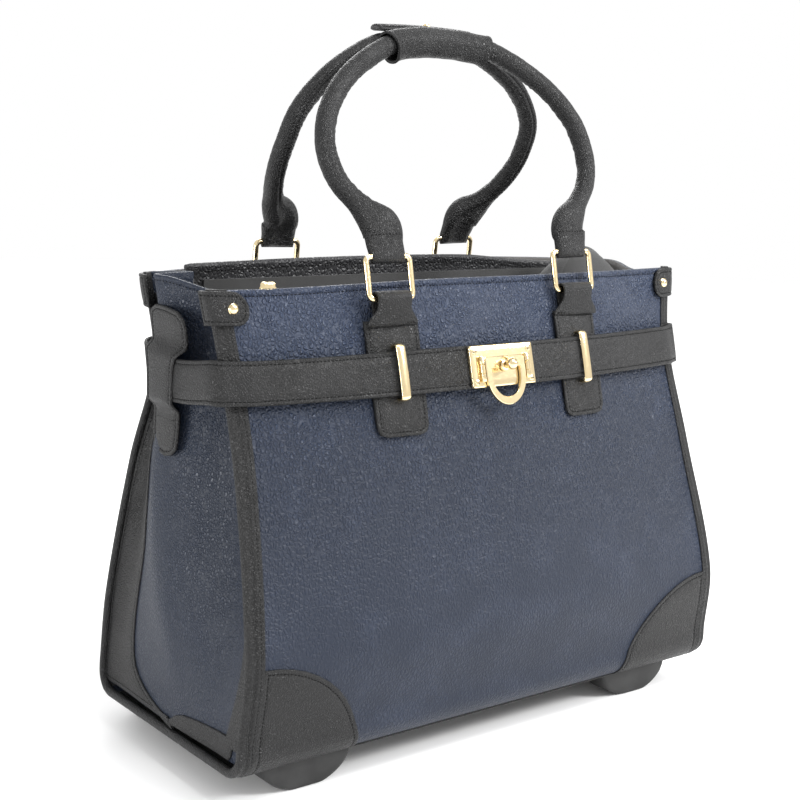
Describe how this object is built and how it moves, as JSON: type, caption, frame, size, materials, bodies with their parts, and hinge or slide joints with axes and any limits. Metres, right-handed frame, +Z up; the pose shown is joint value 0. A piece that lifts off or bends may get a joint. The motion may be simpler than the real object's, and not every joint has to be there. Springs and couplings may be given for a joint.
{
  "type": "rolling laptop case",
  "caption": "Wide leather laptop tote on rear wheels, with two carry handles joined by a wrap, a belt with a turn lock, and a telescopic trolley handle.",
  "frame": {"origin": "on the floor, under the middle of the case's overall box", "axes": "+Z up, -Y towards the front panel with the lock, +X towards the case's left as it faces the viewer's right"},
  "size_m": [0.4372, 0.2188, 0.5047],
  "materials": {
    "leather_navy": "pebbled navy leather look, soft sheen",
    "leather_black": "fine-grained black leather look, stitched edges",
    "gold_metal": "polished pale gold plating",
    "plastic_black": "moulded plastic, fine texture",
    "bare_aluminium": "satin anodised tube",
    "nylon_black": "dense woven nylon",
    "tyre_rubber": "solid polyurethane tread",
    "fibre_board": "pressed fibre stiffener"
  },
  "bodies": {
    "bag": {"front_panel": "leather_navy", "rear_panel": "leather_navy", "bottom_panel": "leather_black", "base_board": "fibre_board", "belt_front": "leather_black", "belt_wrap": "leather_black", "trolley_bezel": "plastic_black", "rear_divider": "leather_black", "laptop_sleeve": "nylon_black", "zip_tape_front": "nylon_black", "zip_tape_rear": "nylon_black", "zip_gusset": "nylon_black", "lock_plate": "gold_metal", "gusset_left": "leather_navy", "binding_left": "leather_black", "belt_loop_left": "leather_black", "front_corner_tab_left": "leather_black", "rear_corner_tab_left": "leather_black", "front_handle_tab_left": "leather_black", "rear_handle_tab_left": "leather_black", "front_foot_left": "plastic_black", "wheel_housing_left": "plastic_black", "axle_left": "bare_aluminium", "outer_tube_left": "bare_aluminium", "belt_keeper_left": "gold_metal", "gusset_right": "leather_navy", "binding_right": "leather_black", "belt_loop_right": "leather_black", "front_corner_tab_right": "leather_black", "rear_corner_tab_right": "leather_black", "front_handle_tab_right": "leather_black", "rear_handle_tab_right": "leather_black", "front_foot_right": "plastic_black", "wheel_housing_right": "plastic_black", "axle_right": "bare_aluminium", "outer_tube_right": "bare_aluminium", "belt_keeper_right": "gold_metal"},
    "front_rings": {"front_ring_left": "gold_metal", "front_ring_right": "gold_metal"},
    "front_handle": {"front_handle": "leather_black", "grip_wrap": "leather_black"},
    "wrap_flap": {"wrap_flap": "leather_black"},
    "rear_rings": {"rear_ring_left": "gold_metal", "rear_ring_right": "gold_metal"},
    "rear_handle": {"rear_handle": "leather_black"},
    "lock_knob": {"lock_knob": "gold_metal"},
    "lock_hasp": {"lock_hasp": "gold_metal"},
    "zip_slider": {"zip_slider": "gold_metal"},
    "trolley_lower": {"lower_tube_left": "bare_aluminium", "lower_tube_right": "bare_aluminium"},
    "trolley_middle": {"middle_tube_left": "bare_aluminium", "middle_tube_right": "bare_aluminium"},
    "trolley_upper": {"upper_tube_left": "bare_aluminium", "upper_tube_right": "bare_aluminium", "trolley_grip": "plastic_black"},
    "release_button": {"release_button": "plastic_black"},
    "wheel_left": {"tyre_left": "tyre_rubber", "wheel_hub_left": "plastic_black"},
    "wheel_right": {"tyre_right": "tyre_rubber", "wheel_hub_right": "plastic_black"}
  },
  "joints": [
    {"name": "front_rings_swing", "type": "hinge", "parent": "bag", "child": "front_rings", "pos_m": [0, -0.06743, 0.32], "axis": [1, 0, 0], "range_deg": [0, 120]},
    {"name": "front_handle_swing", "type": "hinge", "parent": "front_rings", "child": "front_handle", "pos_m": [0, -0.06143, 0.34735], "axis": [1, 0, 0], "range_deg": [0, 60]},
    {"name": "wrap_flap_open", "type": "hinge", "parent": "front_handle", "child": "wrap_flap", "pos_m": [0, 0.00217, 0.49988], "axis": [1, 0, 0], "range_deg": [0, 105]},
    {"name": "rear_rings_swing", "type": "hinge", "parent": "bag", "child": "rear_rings", "pos_m": [0, 0.07577, 0.32], "axis": [-1, 0, 0], "range_deg": [0, 120]},
    {"name": "rear_handle_swing", "type": "hinge", "parent": "rear_rings", "child": "rear_handle", "pos_m": [0, 0.07277, 0.34784], "axis": [-1, 0, 0], "range_deg": [0, 60]},
    {"name": "lock_knob_turn", "type": "hinge", "parent": "bag", "child": "lock_knob", "pos_m": [0, -0.08476, 0.27152], "axis": [0, -0.9659, 0.2588], "range_deg": [0, 90]},
    {"name": "lock_hasp_lift", "type": "hinge", "parent": "bag", "child": "lock_hasp", "pos_m": [0, -0.08734, 0.27811], "axis": [-1, 0, 0], "range_deg": [0, 100]},
    {"name": "zip_slider_run", "type": "slide", "parent": "bag", "child": "zip_slider", "axis": [1, 0, 0], "range_m": [0, 0.24]},
    {"name": "trolley_lower_slide", "type": "slide", "parent": "bag", "child": "trolley_lower", "axis": [0, 0, 1], "range_m": [0, 0.215]},
    {"name": "trolley_middle_slide", "type": "slide", "parent": "trolley_lower", "child": "trolley_middle", "axis": [0, 0, 1], "range_m": [0, 0.215]},
    {"name": "trolley_upper_slide", "type": "slide", "parent": "trolley_middle", "child": "trolley_upper", "axis": [0, 0, 1], "range_m": [0, 0.215]},
    {"name": "release_button_press", "type": "slide", "parent": "trolley_upper", "child": "release_button", "axis": [0, 0, -1], "range_m": [0, 0.003], "stiffness_N_per_m": 500},
    {"name": "wheel_left_spin", "type": "hinge", "parent": "bag", "child": "wheel_left", "pos_m": [-0.178, 0.07937, 0.03], "axis": [1, 0, 0], "continuous": true},
    {"name": "wheel_right_spin", "type": "hinge", "parent": "bag", "child": "wheel_right", "pos_m": [0.178, 0.07937, 0.03], "axis": [1, 0, 0], "continuous": true}
  ]
}
